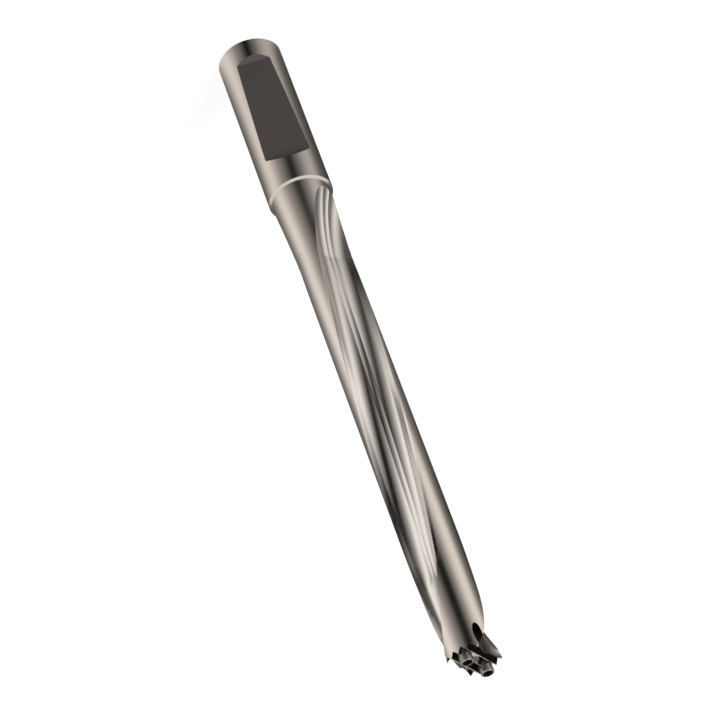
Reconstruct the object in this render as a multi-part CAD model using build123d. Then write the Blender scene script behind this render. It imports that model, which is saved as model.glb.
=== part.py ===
from build123d import *
import os
from math import cos, exp, radians, sin, sqrt, tan

# Drill body for a replaceable cutting head, standing on its rear face.
# Millimetres and degrees. +Z runs from the rear face up to the seat, the clamping flat faces -Y.

# Lengths along the axis
SHANK_LENGTH = 46.5
COLLAR_LENGTH = 0.4
CONE_LENGTH = 18.45
OVERALL_LENGTH = 180.5

# Diameters and edges of the turned blank
SHANK_DIA = 16.0
NECK_DIA = 14.7
BODY_DIA = 12.8
REAR_CHAMFER = 0.4

# Inclined clamping flat of the shank, positions from the rear face
FLAT_START = 5.65
FLAT_END = 37.25
FLAT_GAUGE_POSITION = 24.0
FLAT_GAUGE_DEPTH = 1.8
FLAT_SLOPE = 2.0
FLAT_RAMP = 45.0

# Two right-hand flutes. Angles are counted about +Z, and tip distances down from the tooth tips
FLUTE_COUNT = 2
FLUTE_ANGLE_AT_SEAT = 348.6
FLUTE_TWIST = 1.018
SEAT_LEAD = 41.5
SEAT_LEAD_DECAY = 10.5
WEB = 4.9
FLUTE_HALF_ANGLE = 48.7
THROAT_HALF_ANGLE = 40.5
THROAT_START = 24.4
THROAT_FAR = 9.4
THROAT_NEAR = 3.9
RUN_OUT_PAST_CONE = 2.15
RUN_OUT_SLOPE = 6.0
RUN_OUT_CUTTER_RADIUS = 66.0

# Finishing passes that leave ridges in a flute: radius, floor above the web, angle from the flute's middle
FINISHING_PASSES = (
    (3.6, 0.06, 11.5),
    (2.3, -0.1, -1.9),
    (3.6, 0.14, -16.2),
)
PASS_LIFT = 1.6
PASS_FADE_START = 24.4
PASS_FADE_END = 10.4

# Shallow relief of the land along one edge of each flute
RELIEF_DEPTH = 0.07
RELIEF_CUTTER_RADIUS = 12.0
RELIEF_OFFSET_ANGLE = 51.6

# Serrated seat
SCREW_LINE_ANGLE = 299.2
GROOVE_COUNT = 4
GROOVE_PITCH = 2.05
GROOVE_DEPTH = 1.15
GROOVE_SHIFT = 0.35
CREST_FLAT = 0.15

# Clamp screws and their threaded holes
SCREW_EDGE_DISTANCE = 2.24
HEAD_DIA = 3.0
HEAD_ABOVE_TEETH = 1.85
HEAD_CHAMFER = 0.15
THREAD_DIA = 2.0
THREAD_LENGTH = 5.0
THREAD_HOLE_SPARE = 1.5
SPOT_FACE_DEPTH = 0.1
SCREW_CLEARANCE = 0.05
SOCKET_ACROSS_FLATS = 2.1
SOCKET_DEPTH = 1.3

# Coolant channels
BORE_DIA = 2.6
BRANCH_DIA = 2.0
BRANCH_ANGLE = 251.7
BRANCH_SLOPE = 19.5
BRANCH_EXIT_DEPTH = 2.6

# Derived sizes and shared placing values
SHANK_RADIUS = SHANK_DIA / 2
NECK_RADIUS = NECK_DIA / 2
BODY_RADIUS = BODY_DIA / 2
CONE_START = SHANK_LENGTH + COLLAR_LENGTH
CONE_END = CONE_START + CONE_LENGTH
RUN_OUT_END = CONE_END + RUN_OUT_PAST_CONE
SCREW_RADIUS = BODY_RADIUS - SCREW_EDGE_DISTANCE
GROOVE_ROOT = OVERALL_LENGTH - GROOVE_DEPTH
HEAD_SEAT = GROOVE_ROOT - SPOT_FACE_DEPTH
HEAD_HEIGHT = OVERALL_LENGTH + HEAD_ABOVE_TEETH - HEAD_SEAT
BRANCH_START = OVERALL_LENGTH - BRANCH_EXIT_DEPTH - BODY_RADIUS / tan(radians(BRANCH_SLOPE))
CUTTER_OVERRUN = 2.0
CUTTER_EDGE_ANGLE = 75.0
RUN_OUT_SECTIONS = 8
SETTLING_LENGTH = 12.0
SETTLING_SECTIONS = 2
HELIX_SECTIONS = 6
SEAT_ZONE_SECTIONS = 4
THROAT_SECTIONS = 5
BASE = (Align.CENTER, Align.CENTER, Align.MIN)


def ease(value, start, end):
    """0 at start, 1 at end, smooth between and constant outside. End may lie below start."""
    share = min(max((value - start) / (end - start), 0.0), 1.0)
    return share * share * (3.0 - 2.0 * share)


def around_axis(shape):
    """Copies of a shape for every flute."""
    return [Rot(Z=360 / FLUTE_COUNT * index) * shape for index in range(FLUTE_COUNT)]


def turned_blank():
    """Shank with its collar, the cone and the slender body, turned in one piece."""
    profile = Polyline(
        (0, 0),
        (SHANK_RADIUS - REAR_CHAMFER, 0),
        (SHANK_RADIUS, REAR_CHAMFER),
        (SHANK_RADIUS, SHANK_LENGTH),
        (NECK_RADIUS, CONE_START),
        (BODY_RADIUS, CONE_END),
        (BODY_RADIUS, OVERALL_LENGTH),
        (0, OVERALL_LENGTH),
        close=True,
    )
    return revolve(Plane.XZ * make_face(profile), Axis.Z)


def flat_depth(z):
    """Depth of the inclined flat below the shank's surface."""
    return FLAT_GAUGE_DEPTH + (z - FLAT_GAUGE_POSITION) * tan(radians(FLAT_SLOPE))


def clamping_flat():
    """What the milling cutter takes off the shank: a shallow wedge with a ramp at each end."""
    ramp = tan(radians(FLAT_RAMP))
    rear_foot = FLAT_START + flat_depth(FLAT_START) / ramp
    outside = SHANK_RADIUS + CUTTER_OVERRUN
    profile = Polyline(
        (-outside, rear_foot - (flat_depth(rear_foot) + CUTTER_OVERRUN) / ramp),
        (-(SHANK_RADIUS - flat_depth(rear_foot)), rear_foot),
        (-(SHANK_RADIUS - flat_depth(FLAT_END)), FLAT_END),
        (-outside, FLAT_END + (flat_depth(FLAT_END) + CUTTER_OVERRUN) / ramp),
        close=True,
    )
    return extrude(Plane.YZ * make_face(profile), amount=SHANK_RADIUS, both=True)


def flute_angle(z):
    """Direction of the flute's middle: an even helix that quickens towards the seat."""
    tip_distance = OVERALL_LENGTH - z
    return FLUTE_ANGLE_AT_SEAT - FLUTE_TWIST * tip_distance + SEAT_LEAD * exp(-tip_distance / SEAT_LEAD_DECAY)


def run_out_lift(z):
    """How far the cutter has climbed out of the work, on an arc that leaves the floor at a slope."""
    travel = max(RUN_OUT_END - z, 0.0)
    across = travel + RUN_OUT_CUTTER_RADIUS * sin(radians(RUN_OUT_SLOPE))
    return RUN_OUT_CUTTER_RADIUS * cos(radians(RUN_OUT_SLOPE)) - sqrt(RUN_OUT_CUTTER_RADIUS**2 - across**2)


def run_out_start():
    """Height where the climbing cutter is clear of the shank."""
    climb = SHANK_RADIUS - WEB / 2 + CUTTER_OVERRUN / 2
    up = RUN_OUT_CUTTER_RADIUS * cos(radians(RUN_OUT_SLOPE)) - climb
    across = sqrt(RUN_OUT_CUTTER_RADIUS**2 - up**2)
    return RUN_OUT_END + RUN_OUT_CUTTER_RADIUS * sin(radians(RUN_OUT_SLOPE)) - across


def pass_lift(z):
    """The finishing passes leave the floor before they reach the seat."""
    return PASS_LIFT * ease(OVERALL_LENGTH - z, PASS_FADE_START, PASS_FADE_END)


def flute_radius(z):
    """Radius of the round flute floor that opens to the wanted half angle at the body's surface."""
    tip_distance = OVERALL_LENGTH - z
    closed = ease(tip_distance, THROAT_START, THROAT_FAR) * ease(tip_distance, 0.0, THROAT_NEAR)
    half_angle = FLUTE_HALF_ANGLE + (THROAT_HALF_ANGLE - FLUTE_HALF_ANGLE) * closed
    floor = WEB / 2
    reach = BODY_RADIUS * cos(radians(half_angle))
    return (floor**2 + BODY_RADIUS**2 - 2 * floor * reach) / (2 * (reach - floor))


def evenly(first, last, count):
    """As many heights as wanted, from first up to, but without, last."""
    return [first + (last - first) * index / count for index in range(count)]


def stations():
    """Heights of the cutter sections, closer together where the depth or the helix changes."""
    settled = RUN_OUT_END + SETTLING_LENGTH
    seat_zone = OVERALL_LENGTH - THROAT_START
    throat = OVERALL_LENGTH - THROAT_FAR
    end = OVERALL_LENGTH + CUTTER_OVERRUN
    heights = evenly(run_out_start(), RUN_OUT_END, RUN_OUT_SECTIONS)
    heights += evenly(RUN_OUT_END, settled, SETTLING_SECTIONS)
    heights += evenly(settled, seat_zone, HELIX_SECTIONS)
    heights += evenly(seat_zone, throat, SEAT_ZONE_SECTIONS)
    return heights + evenly(throat, end, THROAT_SECTIONS) + [end]


def cutter_section(radius):
    """Round cutter edge with its floor towards -X, closed by a straight line outside the work."""
    end_x = radius * cos(radians(CUTTER_EDGE_ANGLE))
    end_y = radius * sin(radians(CUTTER_EDGE_ANGLE))
    edge = ThreePointArc((end_x, end_y), (-radius, 0), (end_x, -end_y))
    return make_face([edge, Line(edge @ 1, edge @ 0)])


def milling_path(radius_at, floor_at, angle_at):
    """All that a round cutter takes away along one flute, as a smooth solid through its sections."""
    sections = []
    for z in stations():
        place = Plane.XY.offset(z) * Rot(Z=angle_at(z)) * Pos(X=floor_at(z) + radius_at(z))
        sections.append(place * cutter_section(radius_at(z)))
    return loft(sections)


def roughing_pass():
    """The main round floor of a flute."""
    return milling_path(flute_radius, lambda z: WEB / 2 + run_out_lift(z), flute_angle)


def finishing_pass(radius, height, offset):
    """A narrower round pass beside the flute's middle, which leaves a ridge at each border."""
    return milling_path(
        lambda z: radius,
        lambda z: WEB / 2 + height + run_out_lift(z) + pass_lift(z),
        lambda z: flute_angle(z) + offset,
    )


def edge_relief():
    """A wide round cutter that only grazes the land along one edge of a flute."""
    return milling_path(
        lambda z: RELIEF_CUTTER_RADIUS,
        lambda z: BODY_RADIUS - RELIEF_DEPTH + run_out_lift(z) + pass_lift(z),
        lambda z: flute_angle(z) - RELIEF_OFFSET_ANGLE,
    )


def seat_grooves():
    """Straight V grooves across the seat end, parallel to the line through the two screws."""
    half_root_to_crest = (GROOVE_PITCH - CREST_FLAT) / 2
    half_mouth = half_root_to_crest * (1 + CUTTER_OVERRUN / GROOVE_DEPTH)
    top = OVERALL_LENGTH + CUTTER_OVERRUN
    grooves = []
    for index in range(GROOVE_COUNT):
        middle = (index - (GROOVE_COUNT - 1) / 2) * GROOVE_PITCH + GROOVE_SHIFT
        profile = Polyline((middle - half_mouth, top), (middle, GROOVE_ROOT), (middle + half_mouth, top), close=True)
        groove = extrude(Plane.YZ * make_face(profile), amount=SHANK_RADIUS, both=True)
        grooves.append(Rot(Z=SCREW_LINE_ANGLE) * groove)
    return grooves


def screw_hole():
    """Spot face for the head and the threaded blind hole under it, with the head's foot at the origin."""
    spot_face = Cylinder(HEAD_DIA / 2 + SCREW_CLEARANCE, HEAD_HEIGHT, align=BASE)
    depth = THREAD_LENGTH + THREAD_HOLE_SPARE
    return spot_face + Rot(X=180) * Cylinder(THREAD_DIA / 2 + SCREW_CLEARANCE, depth, align=BASE)


def on_seat(shape):
    """Copies of a shape at the foot of each screw head."""
    return around_axis(Rot(Z=SCREW_LINE_ANGLE) * Pos(SCREW_RADIUS, 0, HEAD_SEAT) * shape)


def clamp_screw():
    """One cap screw with its head's foot at the origin: threaded stem below, hexagon socket on top."""
    outline = Polyline(
        (0, -THREAD_LENGTH),
        (THREAD_DIA / 2, -THREAD_LENGTH),
        (THREAD_DIA / 2, 0),
        (HEAD_DIA / 2, 0),
        (HEAD_DIA / 2, HEAD_HEIGHT - HEAD_CHAMFER),
        (HEAD_DIA / 2 - HEAD_CHAMFER, HEAD_HEIGHT),
        (0, HEAD_HEIGHT),
        close=True,
    )
    screw = revolve(Plane.XZ * make_face(outline), Axis.Z)
    hexagon = RegularPolygon(SOCKET_ACROSS_FLATS / 2, 6, major_radius=False)
    return screw - Pos(Z=HEAD_HEIGHT) * extrude(hexagon, amount=-SOCKET_DEPTH)


def coolant_channels():
    """Straight bore from the rear face, with two slanted holes that open in the lands beside the seat."""
    bore = Cylinder(BORE_DIA / 2, BRANCH_START, align=BASE)
    length = 2 * BODY_RADIUS / sin(radians(BRANCH_SLOPE))
    branch = Pos(Z=BRANCH_START) * Rot(Y=BRANCH_SLOPE) * Cylinder(BRANCH_DIA / 2, length, align=BASE)
    return [bore] + around_axis(Rot(Z=BRANCH_ANGLE) * branch)


def drill_body():
    """The turned blank with everything milled and drilled away."""
    body = turned_blank() - clamping_flat()
    finishing = [finishing_pass(*sizes) for sizes in FINISHING_PASSES]
    for cutter in [roughing_pass(), edge_relief()] + finishing:
        for copy in around_axis(cutter):
            body = body - copy
    return body - seat_grooves() - coolant_channels() - on_seat(screw_hole())


def clamp_screws():
    """The two screws that pull the cutting head onto the seat, as separate solids."""
    return Compound(children=on_seat(clamp_screw()))


os.makedirs("parts", exist_ok=True)
export_step(drill_body(), "parts/drill_body.step")
export_step(clamp_screws(), "parts/clamp_screws.step")
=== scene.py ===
from math import atan2, cos, degrees, exp, pi, radians, sin, sqrt, tan

import bpy
import numpy as np
from mathutils import Matrix, Vector


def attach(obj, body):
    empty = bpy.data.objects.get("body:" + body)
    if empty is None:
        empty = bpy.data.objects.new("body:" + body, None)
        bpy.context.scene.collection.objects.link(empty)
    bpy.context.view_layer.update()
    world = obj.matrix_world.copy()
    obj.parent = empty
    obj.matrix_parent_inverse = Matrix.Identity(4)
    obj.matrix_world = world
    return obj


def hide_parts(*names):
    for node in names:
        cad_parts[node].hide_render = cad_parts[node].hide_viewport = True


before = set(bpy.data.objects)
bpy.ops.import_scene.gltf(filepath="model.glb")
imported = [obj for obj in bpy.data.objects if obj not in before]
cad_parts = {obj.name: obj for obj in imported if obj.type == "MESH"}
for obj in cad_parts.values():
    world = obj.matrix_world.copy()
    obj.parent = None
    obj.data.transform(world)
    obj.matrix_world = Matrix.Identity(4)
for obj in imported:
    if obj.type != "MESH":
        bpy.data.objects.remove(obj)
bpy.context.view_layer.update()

# Drill body for a replaceable cutting head, standing on its rear face.
# Sizes are written in millimetres and degrees, and become metres where a shape is placed.
MM = 0.001

# Turned blank
SHANK_LENGTH = 46.5
COLLAR_LENGTH = 0.4
CONE_LENGTH = 18.45
OVERALL_LENGTH = 180.5
SHANK_RADIUS = 8.0
NECK_RADIUS = 7.35
BODY_RADIUS = 6.4
REAR_CHAMFER = 0.4
CONE_START = SHANK_LENGTH + COLLAR_LENGTH
CONE_END = CONE_START + CONE_LENGTH

# Clamping flat
FLAT_START = 5.65
FLAT_END = 37.25
FLAT_GAUGE_POSITION = 24.0
FLAT_GAUGE_DEPTH = 1.8
FLAT_SLOPE = 2.0

# Flutes. The throat and the fading of the passes are placed by their distance from the seat
FLUTE_ANGLE_AT_SEAT = 348.6
FLUTE_TWIST = 1.018
SEAT_LEAD = 41.5
SEAT_LEAD_DECAY = 10.5
WEB_RADIUS = 2.45
FLUTE_HALF_ANGLE = 48.7
THROAT_HALF_ANGLE = 40.5
THROAT_START = 24.4
THROAT_FAR = 9.4
THROAT_NEAR = 3.9
THROAT_FOOT = OVERALL_LENGTH - THROAT_START
RUN_OUT_PAST_CONE = 2.15
RUN_OUT_END = CONE_END + RUN_OUT_PAST_CONE
RUN_OUT_SLOPE = 6.0
RUN_OUT_CUTTER_RADIUS = 66.0
PASS_LIFT = 1.6
PASS_FADE_START = 24.4
PASS_FADE_END = 10.4
PASSES_GONE = OVERALL_LENGTH - PASS_FADE_END

# Round cutters beside the main one: radius, distance of their floor from the axis, angle from the
# flute's middle. The relief thins the land, and the finishing passes leave ridges in the floor
RELIEF = (12.0, BODY_RADIUS - 0.07, -51.6)
FINISHING_PASSES = (
    (3.6, WEB_RADIUS + 0.14, -16.2),
    (2.3, WEB_RADIUS - 0.1, -1.9),
    (3.6, WEB_RADIUS + 0.06, 11.5),
)

# Serrated seat and its two screws
SCREW_LINE_ANGLE = 299.2
GROOVE_COUNT = 4
GROOVE_PITCH = 2.05
GROOVE_DEPTH = 1.15
GROOVE_SHIFT = 0.35
CREST_FLAT = 0.15
SPOT_FACE_DEPTH = 0.1
SCREW_RADIUS = 4.16
HEAD_RADIUS = 1.5
HEAD_ABOVE_TEETH = 1.85
HEAD_EDGE = 0.15
STEM_RADIUS = 1.0
STEM_LENGTH = 5.0
STEM_OVERLAP = 0.01
THREAD_HOLE_SPARE = 1.5
SCREW_CLEARANCE = 0.05
SOCKET_ACROSS_FLATS = 2.1
SOCKET_DEPTH = 1.3
GROOVE_ROOT = OVERALL_LENGTH - GROOVE_DEPTH
HEAD_SEAT = GROOVE_ROOT - SPOT_FACE_DEPTH
HEAD_TOP = OVERALL_LENGTH + HEAD_ABOVE_TEETH

# Coolant channels
BORE_RADIUS = 1.3
BORE_OVERRUN = 1.0
BRANCH_RADIUS = 1.0
BRANCH_ANGLE = 251.7
BRANCH_SLOPE = 19.5
BRANCH_EXIT_DEPTH = 2.6
BRANCH_START = OVERALL_LENGTH - BRANCH_EXIT_DEPTH - BODY_RADIUS / tan(radians(BRANCH_SLOPE))

# How far cutters reach past the work, and a distance that stands for a cutter that misses
OVERRUN = 2.0
MISSED = 99.0

# Grid of the fluted form. A half turn has nine strips: relief, floor, three passes with a gap between
# each two, floor and land. Columns in each strip, and the least width of some of them in degrees
STRIP_COLUMNS = (7, 10, 12, 3, 11, 3, 12, 14, 40)
RELIEF_WIDTH = 2.0
FLOOR_WIDTH = 1.0
PASS_WIDTH = 1.5
GAP_WIDTH = 0.5
BORDER_STEP = 0.05
BORDER_EVENING = 10
EDGE_ROUNDING = 0.07
SMOOTH_UP_TO = 28.0

# Depth below the blank from which a surface counts as fully milled
MILLED_DEPTH = 0.05

# Painted shade on the walls of the flutes near the seat, left and right as seen with the seat down.
# Each pair is where a gradual change starts and ends
LEFT_WALL_SIDE = 3.0
LEFT_WALL_RADII = (3.9, 4.8)
LEFT_WALL_RISE = (THROAT_FOOT - 7.0, THROAT_FOOT + 2.0)
LEFT_WALL_END = (180.0, 176.0)
RIGHT_WALL_SIDES = (-3.0, -9.0)
RIGHT_WALL_RISE = (168.0, 172.0)
RIGHT_WALL_LEVEL = 0.42
RIGHT_WALL_EXTRA = 0.40
RIGHT_WALL_TIP = (174.0, 178.5)

# Colours of the finishes, and of painted shade and a painted glint. A pair is the darker and the lighter tone
# of one of them
GROUND_STEEL = ((0.73, 0.675, 0.62, 1), (0.77, 0.71, 0.65, 1))
MILLED_STEEL = (0.84, 0.805, 0.765, 1)
# Painted shade on the flute walls near the seat
PAINTED_SHADE_STEEL = (0.155, 0.140, 0.127, 1)
MATT_FLAT = ((0.088, 0.078, 0.074, 1), (0.116, 0.104, 0.099, 1))
DARK_SCREW = ((0.30, 0.285, 0.27, 1), (0.42, 0.40, 0.38, 1))
# Painted shade inside the channels and the sockets
HOLE_PAINTED_SHADE = ((0.006, 0.005, 0.005, 1), (0.012, 0.011, 0.010, 1))
# Painted shade on the groove flanks
SEAT_PAINTED_SHADE = ((0.018, 0.015, 0.014, 1), (0.040, 0.034, 0.031, 1))
# Painted glint on the groove flanks round the axis
PAINTED_GLINT_COLOUR = (0.85, 0.82, 0.79, 1)
MOTTLE_RANGE = (0.3, 0.7)
WHEEL_MARK_SCALE = (60, 60, 9000)
# Where the painted glint fades out: its radii, and the edge of its mottled share
PAINTED_GLINT_RADII = (0.9, 2.2)
PAINTED_GLINT_EDGE = (0.95, 1.15)

# Which faces are painted: how near their centre lies to the form that they belong to, how little a face
# along a direction leans out of it, and how steeply the flat and the groove flanks face outwards
CLOSE = 0.02
SQUARE = 0.05
FLAT_FACING = -0.3
FLANK_FACING = (0.3, 0.95)

# Camera. Its side is the direction on the floor in which it stands
CAMERA_SIDE = Vector((0.108, -0.994, 0.0))
CAMERA_ELEVATION = 35.0
CAMERA_DISTANCE = 661.5
CAMERA_ROLL = 20.5607
CAMERA_LENS = 143.8
AIM_HEIGHT = 93.2
AIM_ALONG = 2.97
AIM_ACROSS = 0.46

# Floor, cards and lamps, with their sizes, places and distances in metres
FLOOR_SIZE = 6.0
FLOOR_GREY = (0.5, 0.5, 0.5, 1)
FLOOR_GLOW = 0.68
CARD_RADIUS = 2.4
CARD_HEIGHT = 0.0003
CARD_TINT = (0.885, 0.853, 0.824, 1)
CEILING_RADIUS = 2.2
CEILING_HEIGHT = 1.2
CEILING_TINT = (1.0, 0.965, 0.93, 1)
CEILING_GLOW = 0.82
ROOM_GLOW = 0.5
ROOM_GLOW_IN_METAL = 0.12
LAMP_SIZE = 1.0
LAMP_AIM = Vector((0.0, 0.0, 0.1))
LAMPS = (
    ("key_lamp", Vector((-0.9, -0.9, 1.1)), 9.0),
    ("fill_lamp", Vector((1.1, -0.5, 0.9)), 5.0),
)

# Brightness of the graduated card by angle from the camera's side, image left negative, then how it
# changes with the distance from the part: the two distances, and the levels at them
LEFT_LOBE = (
    (-180, 0.13), (-160, 0.10), (-140, 0.15), (-120, 0.29), (-100, 0.64), (-80, 0.95), (-60, 0.74),
    (-40, 0.39), (-20, 0.195), (-2, 0.035), (4, 0.0), (160, 0.0), (180, 0.13),
)
RIGHT_LOBE = (
    (-180, 0.12), (-160, 0.0), (-10, 0.0), (8, 0.0), (20, 0.085), (40, 0.27), (60, 0.51), (80, 0.53),
    (100, 0.21), (120, 0.10), (150, 0.05), (180, 0.12),
)
LEFT_GAIN = ((0.07, 0.19), (1.0, 1.27))
RIGHT_GAIN = ((0.07, 0.19), (1.0, 1.95))
CARD_LIFT = ((0.062, 0.085), (0.008, 0.045))
CARD_FALL = ((0.15, 0.235), (0.0, 0.095))


def ease(value, start, end):
    """0 at start, 1 at end, smooth between and constant outside. End may lie below start."""
    share = min(max((value - start) / (end - start), 0.0), 1.0)
    return share * share * (3.0 - 2.0 * share)


def flute_angle(z):
    """Direction of the flute's middle: an even helix that quickens towards the seat."""
    tip_distance = OVERALL_LENGTH - z
    return FLUTE_ANGLE_AT_SEAT - FLUTE_TWIST * tip_distance + SEAT_LEAD * exp(-tip_distance / SEAT_LEAD_DECAY)


def run_out_lift(z):
    """How far the cutter has climbed out of the work, on an arc that leaves the floor at a slope."""
    travel = max(RUN_OUT_END - z, 0.0)
    across = min(travel + RUN_OUT_CUTTER_RADIUS * sin(radians(RUN_OUT_SLOPE)), RUN_OUT_CUTTER_RADIUS)
    return RUN_OUT_CUTTER_RADIUS * cos(radians(RUN_OUT_SLOPE)) - sqrt(RUN_OUT_CUTTER_RADIUS**2 - across**2)


def pass_lift(z):
    """How far the relief and the finishing passes have lifted off on their way to the seat."""
    return PASS_LIFT * ease(OVERALL_LENGTH - z, PASS_FADE_START, PASS_FADE_END)


def flute_radius(z):
    """Radius of the round flute floor that opens to the wanted half angle at the body's surface."""
    tip_distance = OVERALL_LENGTH - z
    closed = ease(tip_distance, THROAT_START, THROAT_FAR) * ease(tip_distance, 0.0, THROAT_NEAR)
    half_angle = FLUTE_HALF_ANGLE + (THROAT_HALF_ANGLE - FLUTE_HALF_ANGLE) * closed
    reach = BODY_RADIUS * cos(radians(half_angle))
    return (WEB_RADIUS**2 + BODY_RADIUS**2 - 2 * WEB_RADIUS * reach) / (2 * (reach - WEB_RADIUS))


def blank_radius(z):
    """Radius of the turned blank at a height."""
    heights = (0.0, REAR_CHAMFER, SHANK_LENGTH, CONE_START, CONE_END, OVERALL_LENGTH)
    radii = (SHANK_RADIUS - REAR_CHAMFER, SHANK_RADIUS, SHANK_RADIUS, NECK_RADIUS, BODY_RADIUS, BODY_RADIUS)
    return float(np.interp(z, heights, radii))


def cutter_edge(angles, middle, floor, radius):
    """Distance from the axis of the near side of a round cutter, far outside where the cutter misses."""
    turn = np.radians(angles - middle)
    centre = floor + radius
    inside = radius**2 - (centre * np.sin(turn)) ** 2
    edge = centre * np.cos(turn) - np.sqrt(np.maximum(inside, 0.0))
    return np.where((inside > 0) & (np.cos(turn) > 0), edge, MISSED)


def cut_edges(angles, z):
    """Edges of all that cuts one flute, in order: the relief, the main floor and the finishing passes."""
    climb = run_out_lift(z)
    lift = climb + pass_lift(z)
    radius, floor, middle = RELIEF
    edges = [cutter_edge(angles, middle, floor + lift, radius)]
    edges.append(cutter_edge(angles, 0.0, WEB_RADIUS + climb, flute_radius(z)))
    for radius, floor, middle in FINISHING_PASSES:
        edges.append(cutter_edge(angles, middle, floor + lift, radius))
    return edges


def soft_least(first, second, width):
    """The smaller of two distances, rounded over where they cross."""
    share = np.maximum(width - np.abs(first - second), 0.0) / width
    return np.minimum(first, second) - share * share * width / 4


def surface_radius(angles, z):
    """Distance of the finished surface from the axis, with slightly rounded edges."""
    surface = np.full(len(angles), blank_radius(z))
    for edge in cut_edges(angles, z):
        surface = soft_least(surface, edge, EDGE_ROUNDING)
    return surface


def shapes_and_owner(angles, z):
    """Distances of the blank and then of each cut, and the number of the one that is nearest the axis."""
    edges = np.array([np.full(len(angles), blank_radius(z))] + cut_edges(angles, z))
    return edges, edges.argmin(axis=0)


def strip_borders(z):
    """Angles between the strips of a half turn, counted from the flute's middle."""
    angles = np.arange(-90.0, 90.0, BORDER_STEP)
    edges, owner = shapes_and_owner(angles, min(z, PASSES_GONE))
    relief_number = 1
    floor_number = 2
    pass_numbers = (3, 4, 5)
    spans = []
    for number in (relief_number, *pass_numbers):
        own = angles[owner == number]
        if len(own):
            spans.append((own[0], own[-1]))
        else:
            others = np.delete(edges, number, axis=0).min(axis=0)
            nearest = angles[(edges[number] - others).argmin()]
            spans.append((nearest, nearest))
    flute = angles[shapes_and_owner(angles, z)[1] >= floor_number]
    relief_span, first, second, last = spans
    middle = sum(second) / 2
    half = max(second[1] - second[0], PASS_WIDTH) / 2
    second_start, second_end = middle - half, middle + half
    least_side = GAP_WIDTH + PASS_WIDTH + FLOOR_WIDTH
    left, right = (flute[0], flute[-1]) if len(flute) else (middle, middle)
    left = min(left, second_start - least_side)
    right = max(right, second_end + least_side)
    first_start = min(max(first[0], left + FLOOR_WIDTH), second_start - GAP_WIDTH - PASS_WIDTH)
    first_end = min(max(first[1], first_start + PASS_WIDTH), second_start - GAP_WIDTH)
    last_end = max(min(last[1], right - FLOOR_WIDTH), second_end + GAP_WIDTH + PASS_WIDTH)
    last_start = max(min(last[0], last_end - PASS_WIDTH), second_end + GAP_WIDTH)
    relief = min(relief_span[0], left - RELIEF_WIDTH)
    passes = (first_start, first_end, second_start, second_end, last_start, last_end)
    return (relief, left, *passes, right, relief + 180.0)


def even_borders(heights):
    """Strip borders of every ring, evened out along the axis so that the columns drift gently."""
    borders = np.array([strip_borders(z) for z in heights])
    for _ in range(BORDER_EVENING):
        borders[1:-1] = (borders[:-2] + 2 * borders[1:-1] + borders[2:]) / 4
    return borders


def half_turn_angles(borders):
    """Column angles of a half turn, closer together towards the edges of each strip."""
    angles = []
    for start, end, count in zip(borders, borders[1:], STRIP_COLUMNS):
        steps = np.arange(count) / count
        angles.append(start + (end - start) * (1 - np.cos(pi * steps)) / 2)
    return np.concatenate(angles)


def ring_heights():
    """Heights of the rings, closer together where the form changes."""
    settled = RUN_OUT_END + 1.5
    passes_fading = THROAT_FOOT + 8.0
    zones = (
        (REAR_CHAMFER, SHANK_LENGTH, 14),
        (SHANK_LENGTH, CONE_START, 1),
        (CONE_START, CONE_END, 64),
        (CONE_END, settled, 16),
        (settled, THROAT_FOOT, 84),
        (THROAT_FOOT, passes_fading, 36),
        (passes_fading, OVERALL_LENGTH, 44),
    )
    heights = [0.0]
    for start, end, count in zones:
        heights += [start + (end - start) * index / count for index in range(count)]
    return heights + [OVERALL_LENGTH]


def deselect():
    """Leaves nothing selected, in object mode."""
    if bpy.context.mode != "OBJECT":
        bpy.ops.object.mode_set(mode="OBJECT")
    bpy.ops.object.select_all(action="DESELECT")


def pick(piece):
    """Makes a piece the only selected one, and the active one."""
    deselect()
    piece.select_set(True)
    bpy.context.view_layer.objects.active = piece


def fluted_form(name):
    """The turned and fluted form, as rows of faces that follow the flutes."""
    heights = ring_heights()
    points = []
    for z, borders in zip(heights, even_borders(heights)):
        angles = half_turn_angles(borders)
        radii = surface_radius(angles, z)
        for half_turn in (0.0, 180.0):
            turn = np.radians(angles + flute_angle(z) + half_turn)
            ring = [radii * np.cos(turn), radii * np.sin(turn), np.full(len(turn), z)]
            points.append(np.stack(ring, axis=1))
    points = np.concatenate(points)
    around = 2 * sum(STRIP_COLUMNS)
    faces = []
    for row in range(len(heights) - 1):
        for column in range(around):
            after = (column + 1) % around
            low, high = row * around, (row + 1) * around
            faces.append((low + column, low + after, high + after, high + column))
    top = (len(heights) - 1) * around
    faces += [tuple(range(around))[::-1], tuple(range(top, top + around))]
    mesh = bpy.data.meshes.new(name)
    mesh.from_pydata((points * MM).tolist(), [], faces)
    mesh.update()
    form = bpy.data.objects.new(name, mesh)
    bpy.context.scene.collection.objects.link(form)
    return form


def painted_shade_share(radius, side, z):
    """How much painted shade darkens the wall of a flute, from 0 to 1, at an angle from the flute's middle.
    """
    if side > LEFT_WALL_SIDE:
        return ease(radius, *LEFT_WALL_RADII) * ease(z, *LEFT_WALL_RISE) * ease(z, *LEFT_WALL_END)
    level = RIGHT_WALL_LEVEL + RIGHT_WALL_EXTRA * ease(z, *RIGHT_WALL_TIP)
    return level * ease(z, *RIGHT_WALL_RISE) * ease(side, *RIGHT_WALL_SIDES)


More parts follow.
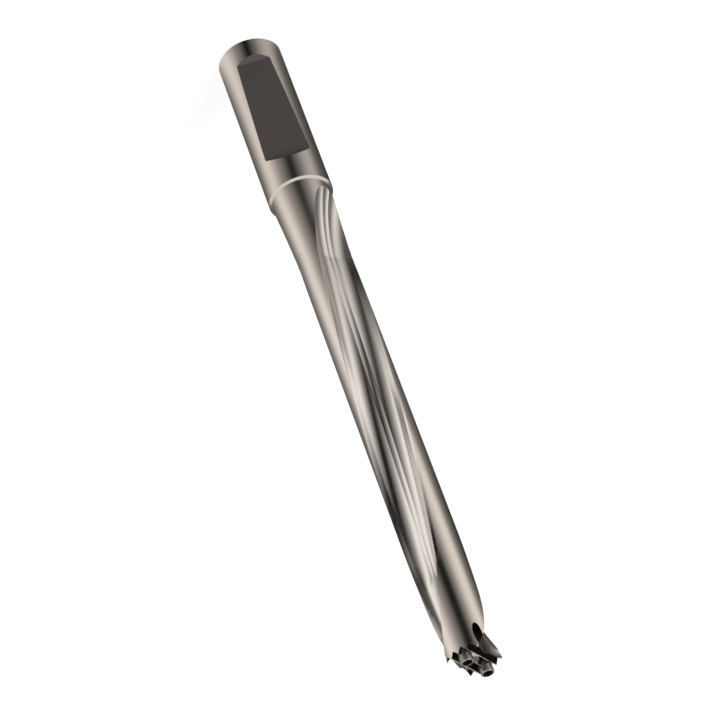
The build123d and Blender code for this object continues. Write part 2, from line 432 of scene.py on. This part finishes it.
def mark_milling_and_painted_shade(body):
    """Marks where the flutes are milled, and where painted shade darkens their walls near the seat."""
    milled = body.data.attributes.new("milled", "FLOAT", "POINT")
    painted_shade = body.data.attributes.new("painted_shade", "FLOAT", "POINT")
    for index, point in enumerate(body.data.vertices):
        x, y, z = point.co / MM
        radius = sqrt(x * x + y * y)
        share = min(max((blank_radius(z) - radius) / MILLED_DEPTH, 0.0), 1.0)
        side = (degrees(atan2(y, x)) - flute_angle(z) + 90.0) % 180.0 - 90.0
        milled.data[index].value = share
        painted_shade.data[index].value = share * painted_shade_share(radius, side, z)


def cylinder(radius, length, place, sides=64):
    """A round cutter that starts at the origin of its place and points along its Z."""
    deselect()
    bpy.ops.mesh.primitive_cylinder_add(vertices=sides, radius=radius * MM, depth=length * MM)
    cutter = bpy.context.active_object
    cutter.data.transform(place @ Matrix.Translation((0, 0, length / 2 * MM)))
    return cutter


def wedge(outline):
    """A cutter with an outline of four points (Y, Z), as long as the shank is wide."""
    deselect()
    bpy.ops.mesh.primitive_cube_add(size=2)
    cutter = bpy.context.active_object
    # Signs of a cube corner's Y and Z, and the point of the outline that it moves to
    order = {(-1, -1): 0, (1, -1): 1, (1, 1): 2, (-1, 1): 3}
    for vertex in cutter.data.vertices:
        y, z = outline[order[(round(vertex.co.y), round(vertex.co.z))]]
        vertex.co = Vector((SHANK_RADIUS * round(vertex.co.x), y, z)) * MM
    return cutter


def flat_depth(z):
    """Depth of the inclined flat below the shank's surface."""
    return FLAT_GAUGE_DEPTH + (z - FLAT_GAUGE_POSITION) * tan(radians(FLAT_SLOPE))


def flat_cutter():
    """The wedge that the clamping flat takes off the shank, with a ramp of 45 degrees at each end."""
    rear = FLAT_START + flat_depth(FLAT_START)
    outside = SHANK_RADIUS + OVERRUN
    return wedge((
        (-outside, rear - flat_depth(rear) - OVERRUN),
        (-SHANK_RADIUS + flat_depth(rear), rear),
        (-SHANK_RADIUS + flat_depth(FLAT_END), FLAT_END),
        (-outside, FLAT_END + flat_depth(FLAT_END) + OVERRUN),
    ))


def groove_cutters():
    """Wedges of the V grooves across the seat. Their root is a hair wide, so that they stay closed forms."""
    half_mouth = (GROOVE_PITCH - CREST_FLAT) / 2 * (1 + OVERRUN / GROOVE_DEPTH)
    top = OVERALL_LENGTH + OVERRUN
    hair = 0.004
    cutters = []
    for index in range(GROOVE_COUNT):
        middle = (index - (GROOVE_COUNT - 1) / 2) * GROOVE_PITCH + GROOVE_SHIFT
        cutter = wedge((
            (middle - hair, GROOVE_ROOT),
            (middle + hair, GROOVE_ROOT),
            (middle + half_mouth, top),
            (middle - half_mouth, top),
        ))
        cutter.data.transform(Matrix.Rotation(radians(SCREW_LINE_ANGLE), 4, "Z"))
        cutters.append(cutter)
    return cutters


def seat_place(half):
    """Place of the foot of one screw head."""
    turn = Matrix.Rotation(radians(SCREW_LINE_ANGLE + 180 * half), 4, "Z")
    return turn @ Matrix.Translation(Vector((SCREW_RADIUS, 0, HEAD_SEAT)) * MM)


def hole_cutters():
    """Spot faces, threaded holes, the coolant bore and its two branches."""
    down = Matrix.Rotation(pi, 4, "X")
    lean = Matrix.Rotation(radians(BRANCH_SLOPE), 4, "Y")
    fork = Matrix.Translation((0, 0, BRANCH_START * MM))
    branch_length = 2 * BODY_RADIUS / sin(radians(BRANCH_SLOPE))
    hole_depth = STEM_LENGTH + THREAD_HOLE_SPARE
    below = Matrix.Translation((0, 0, -BORE_OVERRUN * MM))
    cutters = [cylinder(BORE_RADIUS, BRANCH_START + BORE_OVERRUN, below)]
    for half in range(2):
        foot = seat_place(half)
        turn = Matrix.Rotation(radians(BRANCH_ANGLE + 180 * half), 4, "Z")
        cutters.append(cylinder(HEAD_RADIUS + SCREW_CLEARANCE, 2 * OVERRUN, foot))
        cutters.append(cylinder(STEM_RADIUS + SCREW_CLEARANCE, hole_depth, foot @ down))
        cutters.append(cylinder(BRANCH_RADIUS, branch_length, fork @ turn @ lean))
    return cutters


def cut(piece, cutters):
    """Takes all the cutters' shapes away from a piece, and removes the cutters."""
    group = bpy.data.collections.new("cutters")
    bpy.context.scene.collection.children.link(group)
    for cutter in cutters:
        for holder in list(cutter.users_collection):
            holder.objects.unlink(cutter)
        group.objects.link(cutter)
    pick(piece)
    step = piece.modifiers.new("cut", "BOOLEAN")
    step.operation = "DIFFERENCE"
    step.operand_type = "COLLECTION"
    step.collection = group
    step.solver = "MANIFOLD"
    bpy.ops.object.modifier_apply(modifier=step.name)
    piece.data.materials.clear()
    for cutter in cutters:
        bpy.data.objects.remove(cutter)
    bpy.data.collections.remove(group)


def smooth(piece):
    """Shades a piece smooth, apart from its sharper edges."""
    pick(piece)
    bpy.ops.object.shade_smooth_by_angle(angle=radians(SMOOTH_UP_TO))


def drill_body():
    """The steel body: shank with its flat, fluted length, and seat with its grooves and holes."""
    body = fluted_form("drill_body_steel")
    cut(body, [flat_cutter()] + groove_cutters() + hole_cutters())
    mark_milling_and_painted_shade(body)
    smooth(body)
    return body


def clamp_screw(half):
    """One cap screw with a rounded head edge and a hexagon socket."""
    deselect()
    height = HEAD_TOP - HEAD_SEAT
    bpy.ops.mesh.primitive_cylinder_add(vertices=72, radius=HEAD_RADIUS * MM, depth=height * MM)
    screw = bpy.context.active_object
    screw.name = f"clamp_screw_{half + 1}"
    screw.data.transform(Matrix.Translation((0, 0, height / 2 * MM)))
    edge = screw.modifiers.new("edge", "BEVEL")
    edge.width = HEAD_EDGE * MM
    edge.segments = 4
    edge.limit_method = "ANGLE"
    edge.angle_limit = radians(40)
    bpy.ops.object.modifier_apply(modifier=edge.name)
    overlap = Matrix.Translation((0, 0, -STEM_OVERLAP * MM))
    stem = cylinder(STEM_RADIUS, STEM_LENGTH, Matrix.Rotation(pi, 4, "X") @ overlap)
    pick(screw)
    joint = screw.modifiers.new("stem", "BOOLEAN")
    joint.operation = "UNION"
    joint.object = stem
    joint.solver = "EXACT"
    bpy.ops.object.modifier_apply(modifier=joint.name)
    bpy.data.objects.remove(stem)
    corner_radius = SOCKET_ACROSS_FLATS / 2 / cos(pi / 6)
    socket_floor = Matrix.Translation((0, 0, (height - SOCKET_DEPTH) * MM))
    cut(screw, [cylinder(corner_radius, OVERRUN, socket_floor, sides=6)])
    smooth(screw)
    screw.data.transform(seat_place(half))
    return screw


def node(tree, kind, inputs=None, **settings):
    """A node with its settings and unlinked socket values."""
    made = tree.nodes.new(kind)
    for name, value in settings.items():
        setattr(made, name, value)
    for name, value in (inputs or {}).items():
        made.inputs[name].default_value = value
    return made


def feed(tree, value, socket):
    """Links an output to a socket, or gives the socket a constant."""
    if isinstance(value, bpy.types.NodeSocket):
        tree.links.new(value, socket)
    else:
        socket.default_value = value


def combined(tree, operation, first, second):
    """Sum, product or the like of two values."""
    made = node(tree, "ShaderNodeMath", operation=operation)
    feed(tree, first, made.inputs[0])
    feed(tree, second, made.inputs[1])
    return made.outputs[0]


def ramp(tree, source, span, levels):
    """Goes from the first level to the second while the source goes through its span."""
    made = node(tree, "ShaderNodeMapRange")
    made.inputs["From Min"].default_value = span[0]
    made.inputs["From Max"].default_value = span[1]
    made.inputs["To Min"].default_value = levels[0]
    made.inputs["To Max"].default_value = levels[1]
    tree.links.new(source, made.inputs["Value"])
    return made.outputs[0]


def mixed(tree, share, first, second):
    """A colour that goes from the first to the second with a 0 to 1 value."""
    made = node(tree, "ShaderNodeMix", data_type="RGBA")
    feed(tree, share, made.inputs["Factor"])
    feed(tree, first, made.inputs["A"])
    feed(tree, second, made.inputs["B"])
    return made.outputs["Result"]


def uneven_finish():
    """Shared group of an uneven finish: a soft mottle and a fine grain, both from 0 to 1."""
    tree = bpy.data.node_groups.new("uneven_finish", "ShaderNodeTree")
    tree.interface.new_socket("Mottle Scale", in_out="INPUT", socket_type="NodeSocketFloat")
    tree.interface.new_socket("Grain Scale", in_out="INPUT", socket_type="NodeSocketFloat")
    tree.interface.new_socket("Mottle", in_out="OUTPUT", socket_type="NodeSocketFloat")
    tree.interface.new_socket("Grain", in_out="OUTPUT", socket_type="NodeSocketFloat")
    source = node(tree, "NodeGroupInput")
    result = node(tree, "NodeGroupOutput")
    place = node(tree, "ShaderNodeTexCoord")
    for name, detail, roughness in (("Mottle", 4.0, 0.55), ("Grain", 2.0, 0.5)):
        noise = node(tree, "ShaderNodeTexNoise", {"Detail": detail, "Roughness": roughness})
        tree.links.new(place.outputs["Object"], noise.inputs["Vector"])
        tree.links.new(source.outputs[f"{name} Scale"], noise.inputs["Scale"])
        tree.links.new(noise.outputs[0], result.inputs[name])
    return tree


def metal_material(name):
    """A new material, its nodes and its shader."""
    material = bpy.data.materials.new(name)
    material.use_nodes = True
    return material, material.node_tree, material.node_tree.nodes["Principled BSDF"]


def grouped(tree, group, mottle, grain):
    """The uneven finish at two scales."""
    return node(tree, "ShaderNodeGroup", {"Mottle Scale": mottle, "Grain Scale": grain}, node_tree=group)


def uneven_roughness(tree, shader, finish, least, most):
    """Lets the roughness follow the mottle."""
    rough = ramp(tree, finish.outputs["Mottle"], MOTTLE_RANGE, (least, most))
    tree.links.new(rough, shader.inputs["Roughness"])


def bumped(tree, shader, height, strength, depth):
    """Fine relief from a 0 to 1 height."""
    bump = node(tree, "ShaderNodeBump", {"Strength": strength, "Distance": depth * MM})
    tree.links.new(height, bump.inputs["Height"])
    tree.links.new(bump.outputs["Normal"], shader.inputs["Normal"])


def satin_steel(group):
    """Warm grey tool steel, ground to a satin finish, with faint marks of the wheel round the axis, a lighter
    tone in the milled flutes, and painted shade on the flute walls near the seat.
    """
    material, tree, shader = metal_material("satin_tool_steel")
    finish = grouped(tree, group, mottle=60.0, grain=2600.0)
    colour = mixed(tree, finish.outputs["Mottle"], *GROUND_STEEL)
    # Milled flutes take a lighter tone, and painted shade darkens the flute walls near the seat
    for mark, tone in (("milled", MILLED_STEEL), ("painted_shade", PAINTED_SHADE_STEEL)):
        share = node(tree, "ShaderNodeAttribute", attribute_name=mark)
        colour = mixed(tree, share.outputs["Fac"], colour, tone)
    tree.links.new(colour, shader.inputs["Base Color"])
    uneven_roughness(tree, shader, finish, 0.19, 0.25)
    place = node(tree, "ShaderNodeTexCoord")
    squeezed = node(tree, "ShaderNodeMapping", {"Scale": WHEEL_MARK_SCALE})
    rings = node(tree, "ShaderNodeTexNoise", {"Scale": 1.0, "Detail": 3.0})
    tree.links.new(place.outputs["Object"], squeezed.inputs["Vector"])
    tree.links.new(squeezed.outputs["Vector"], rings.inputs["Vector"])
    bumped(tree, shader, rings.outputs[0], strength=0.06, depth=0.02)
    shader.inputs["Metallic"].default_value = 1.0
    return material


def milled_flat(group):
    """Dark, matt finish of the clamping flat."""
    material, tree, shader = metal_material("dark_milled_flat")
    finish = grouped(tree, group, mottle=140.0, grain=5200.0)
    tree.links.new(mixed(tree, finish.outputs["Grain"], *MATT_FLAT), shader.inputs["Base Color"])
    uneven_roughness(tree, shader, finish, 0.62, 0.72)
    bumped(tree, shader, finish.outputs["Grain"], strength=0.25, depth=0.03)
    shader.inputs["Metallic"].default_value = 0.35
    return material


def screw_steel(group):
    """Dark, fine turned steel of the screws."""
    material, tree, shader = metal_material("dark_screw_steel")
    finish = grouped(tree, group, mottle=400.0, grain=6000.0)
    tree.links.new(mixed(tree, finish.outputs["Mottle"], *DARK_SCREW), shader.inputs["Base Color"])
    uneven_roughness(tree, shader, finish, 0.36, 0.46)
    bumped(tree, shader, finish.outputs["Grain"], strength=0.2, depth=0.02)
    shader.inputs["Metallic"].default_value = 1.0
    return material


def dark_hole(group):
    """Painted shade inside the channels and the sockets: a near black, matt surface."""
    material, tree, shader = metal_material("dark_hole")
    finish = grouped(tree, group, mottle=300.0, grain=4000.0)
    tree.links.new(mixed(tree, finish.outputs["Mottle"], *HOLE_PAINTED_SHADE), shader.inputs["Base Color"])
    shader.inputs["Roughness"].default_value = 0.6
    shader.inputs["Metallic"].default_value = 0.0
    shader.inputs["Specular IOR Level"].default_value = 0.1
    return material


def seat_steel(group):
    """Flanks of the V grooves in nearly black painted shade, with a painted glint round the axis, between the
    screw heads.
    """
    material, tree, shader = metal_material("seat_painted_shade_and_glint")
    finish = grouped(tree, group, mottle=700.0, grain=6000.0)
    dark = mixed(tree, finish.outputs["Mottle"], *SEAT_PAINTED_SHADE)
    place = node(tree, "ShaderNodeTexCoord")
    flattened = node(tree, "ShaderNodeMapping", {"Scale": (1, 1, 0)})
    distance = node(tree, "ShaderNodeVectorMath", operation="LENGTH")
    tree.links.new(place.outputs["Object"], flattened.inputs["Vector"])
    tree.links.new(flattened.outputs["Vector"], distance.inputs[0])
    # Painted glint: bright within these radii of the axis, with a mottled edge
    radii = [radius * MM for radius in PAINTED_GLINT_RADII]
    glint_near_axis = ramp(tree, distance.outputs["Value"], radii, (1.0, 0.0))
    uneven = combined(tree, "ADD", glint_near_axis, finish.outputs["Mottle"])
    patch = ramp(tree, uneven, PAINTED_GLINT_EDGE, (0.0, 1.0))
    tree.links.new(mixed(tree, patch, dark, PAINTED_GLINT_COLOUR), shader.inputs["Base Color"])
    shader.inputs["Metallic"].default_value = 1.0
    shader.inputs["Roughness"].default_value = 0.2
    return material


def paint_faces(piece, index, belongs):
    """Gives a material to the faces whose centre in millimetres and normal belong to it."""
    for face in piece.data.polygons:
        if belongs(face.center / MM, face.normal):
            face.material_index = index


def on_flat(centre, normal):
    """True on the clamping flat and its ramps."""
    beside = FLAT_START < centre.z < FLAT_END + flat_depth(FLAT_END)
    sunk = centre.xy.length < SHANK_RADIUS - CLOSE
    return beside and sunk and centre.y < 0 and abs(normal.x) < SQUARE and normal.y < FLAT_FACING


def in_socket(centre, axis):
    """True on the walls and the floor of a screw's socket."""
    inside = (centre.xy - axis).length < SOCKET_ACROSS_FLATS / 2 + CLOSE
    return inside and HEAD_TOP - SOCKET_DEPTH - CLOSE < centre.z < HEAD_TOP - CLOSE


def on_groove(centre, normal):
    """True on the sloping flanks of the V grooves."""
    return centre.z > GROOVE_ROOT - CLOSE and FLANK_FACING[0] < normal.z < FLANK_FACING[1]


def in_channel(centre, normal):
    """True inside the coolant bore and its branches."""
    if centre.z < BRANCH_START + BORE_OVERRUN:
        return centre.xy.length < BORE_RADIUS + CLOSE
    lean = radians(BRANCH_SLOPE)
    from_fork = centre - Vector((0, 0, BRANCH_START))
    for half in range(2):
        turn = radians(BRANCH_ANGLE + 180 * half)
        along = Vector((sin(lean) * cos(turn), sin(lean) * sin(turn), cos(lean)))
        away = (from_fork - from_fork.dot(along) * along).length
        on_wall = abs(away - BRANCH_RADIUS) < 2 * CLOSE and abs(normal.dot(along)) < SQUARE
        if on_wall and from_fork.dot(along) > 0:
            return True
    return False


def photo_camera():
    """Long lens that looks down on the standing part, rolled so that its tip points to the lower right."""
    elevation = radians(CAMERA_ELEVATION)
    roll = radians(CAMERA_ROLL)
    across = Vector((CAMERA_SIDE.y, -CAMERA_SIDE.x, 0))
    up = Vector((0, 0, 1))
    back = up * sin(elevation) + CAMERA_SIDE * cos(elevation)
    along = up * cos(elevation) - CAMERA_SIDE * sin(elevation)
    data = bpy.data.cameras.new("camera")
    data.lens = CAMERA_LENS
    data.sensor_width = 36.0
    data.clip_start = 0.01
    data.clip_end = 20.0
    camera = bpy.data.objects.new("camera", data)
    bpy.context.scene.collection.objects.link(camera)
    aim = up * AIM_HEIGHT + along * AIM_ALONG - across * AIM_ACROSS
    camera.location = (aim + back * CAMERA_DISTANCE) * MM
    right = along * sin(roll) + across * cos(roll)
    top = across * sin(roll) - along * cos(roll)
    turn = Matrix((right.normalized(), top.normalized(), back.normalized())).transposed()
    camera.rotation_mode = "QUATERNION"
    camera.rotation_quaternion = turn.to_quaternion()
    bpy.context.scene.camera = camera


def bare_material(name):
    """A new material without any nodes, and its tree."""
    material = bpy.data.materials.new(name)
    material.use_nodes = True
    material.node_tree.nodes.clear()
    return material, material.node_tree


def show(tree, shader):
    """Makes a shader the surface of its material."""
    result = node(tree, "ShaderNodeOutputMaterial")
    tree.links.new(shader.outputs[0], result.inputs["Surface"])


def floor():
    """Plain white floor. It shows white to the camera and in reflections, less the object's shadow."""
    deselect()
    bpy.ops.mesh.primitive_plane_add(size=FLOOR_SIZE)
    ground = bpy.context.active_object
    ground.name = "floor"
    material, tree = bare_material("white_floor")
    matt = node(tree, "ShaderNodeBsdfDiffuse", {"Color": FLOOR_GREY})
    glow = node(tree, "ShaderNodeEmission")
    path = node(tree, "ShaderNodeLightPath")
    seen = combined(tree, "MAXIMUM", path.outputs["Is Camera Ray"], path.outputs["Is Glossy Ray"])
    shown = combined(tree, "MAXIMUM", seen, path.outputs["Is Transmission Ray"])
    tree.links.new(combined(tree, "MULTIPLY", shown, FLOOR_GLOW), glow.inputs["Strength"])
    both = node(tree, "ShaderNodeAddShader")
    tree.links.new(matt.outputs[0], both.inputs[0])
    tree.links.new(glow.outputs[0], both.inputs[1])
    show(tree, both)
    ground.data.materials.append(material)


def reflect_only(card):
    """Makes a card show in reflections alone."""
    card.visible_camera = False
    card.visible_diffuse = False
    card.visible_shadow = False
    card.visible_transmission = False


def lobe_level(tree, share, distance, stops, gain):
    """Brightness of one lobe of the card, by its share of a full turn and the distance."""
    lobe = node(tree, "ShaderNodeValToRGB")
    lobe.color_ramp.interpolation = "CARDINAL"
    for index, (angle, value) in enumerate(stops):
        position = (angle + 180) / 360
        if index < 2:
            stop = lobe.color_ramp.elements[index]
            stop.position = position
        else:
            stop = lobe.color_ramp.elements.new(position)
        stop.color = (value, value, value, 1)
    tree.links.new(share, lobe.inputs[0])
    return combined(tree, "MULTIPLY", lobe.outputs[0], ramp(tree, distance, *gain))


def light_card():
    """Graduated card on the floor that only metal reflects, with a soft bright lobe on each side."""
    deselect()
    bpy.ops.mesh.primitive_circle_add(vertices=96, radius=CARD_RADIUS, fill_type="NGON")
    card = bpy.context.active_object
    card.name = "light_card"
    card.location = CAMERA_SIDE * (SHANK_RADIUS / 2 * MM) + Vector((0, 0, CARD_HEIGHT))
    card.rotation_euler = (0, 0, atan2(CAMERA_SIDE.y, CAMERA_SIDE.x))
    material, tree = bare_material("graduated_card")
    place = node(tree, "ShaderNodeTexCoord")
    split = node(tree, "ShaderNodeSeparateXYZ")
    length = node(tree, "ShaderNodeVectorMath", operation="LENGTH")
    tree.links.new(place.outputs["Object"], split.inputs[0])
    tree.links.new(place.outputs["Object"], length.inputs[0])
    distance = length.outputs["Value"]
    mirrored = combined(tree, "MULTIPLY", split.outputs["Y"], -1.0)
    angle = combined(tree, "ARCTAN2", mirrored, split.outputs["X"])
    share = ramp(tree, angle, (-pi, pi), (0.0, 1.0))
    left = lobe_level(tree, share, distance, LEFT_LOBE, LEFT_GAIN)
    right = lobe_level(tree, share, distance, RIGHT_LOBE, RIGHT_GAIN)
    level = combined(tree, "ADD", left, right)
    level = combined(tree, "ADD", level, ramp(tree, distance, *CARD_LIFT))
    level = combined(tree, "SUBTRACT", level, ramp(tree, distance, *CARD_FALL))
    level = combined(tree, "MAXIMUM", level, 0.0)
    glow = node(tree, "ShaderNodeEmission", {"Color": CARD_TINT})
    tree.links.new(level, glow.inputs["Strength"])
    show(tree, glow)
    card.data.materials.append(material)
    reflect_only(card)


def ceiling_card():
    """Even white card above the part, for what faces up."""
    deselect()
    bpy.ops.mesh.primitive_circle_add(vertices=64, radius=CEILING_RADIUS, fill_type="NGON")
    card = bpy.context.active_object
    card.name = "ceiling_card"
    card.location = (0, 0, CEILING_HEIGHT)
    material, tree = bare_material("white_card")
    show(tree, node(tree, "ShaderNodeEmission", {"Color": CEILING_TINT, "Strength": CEILING_GLOW}))
    card.data.materials.append(material)
    reflect_only(card)


def lights():
    """Soft, plain light: an even room that metal sees dim, and two large lamps."""
    world = bpy.data.worlds.new("room")
    bpy.context.scene.world = world
    world.use_nodes = True
    tree = world.node_tree
    room = tree.nodes["Background"]
    room.inputs["Color"].default_value = (1, 1, 1, 1)
    path = node(tree, "ShaderNodeLightPath")
    level = ramp(tree, path.outputs["Is Glossy Ray"], (0.0, 1.0), (ROOM_GLOW, ROOM_GLOW_IN_METAL))
    tree.links.new(level, room.inputs["Strength"])
    for name, place, power in LAMPS:
        data = bpy.data.lights.new(name, "AREA")
        data.size = LAMP_SIZE
        data.energy = power
        lamp = bpy.data.objects.new(name, data)
        bpy.context.scene.collection.objects.link(lamp)
        lamp.location = place
        lamp.rotation_mode = "QUATERNION"
        lamp.rotation_quaternion = (LAMP_AIM - place).to_track_quat("-Z", "Y")


def studio():
    """Everything round the part: floor, cards, lamps and camera."""
    floor()
    light_card()
    ceiling_card()
    lights()
    photo_camera()


def main():
    """The body, its two screws and the studio round them."""
    group = uneven_finish()
    steel = satin_steel(group)
    flat = milled_flat(group)
    hole = dark_hole(group)
    seat = seat_steel(group)
    screw_finish = screw_steel(group)
    body = drill_body()
    for material in (steel, flat, hole, seat):
        body.data.materials.append(material)
    paint_faces(body, 1, on_flat)
    # Painted shade inside the coolant channels
    paint_faces(body, 2, in_channel)
    # Painted shade on the groove flanks, with a painted glint round the axis
    paint_faces(body, 3, on_groove)
    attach(body, "root")
    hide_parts("drill_body")
    for half in range(2):
        screw = clamp_screw(half)
        screw.data.materials.append(screw_finish)
        screw.data.materials.append(hole)
        axis = seat_place(half).translation.xy / MM
        # Painted shade inside the socket
        paint_faces(screw, 1, lambda centre, normal: in_socket(centre, axis))
        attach(screw, "root")
        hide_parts("clamp_screws")
    studio()


main()
bpy.context.scene.view_settings.view_transform = "Standard"
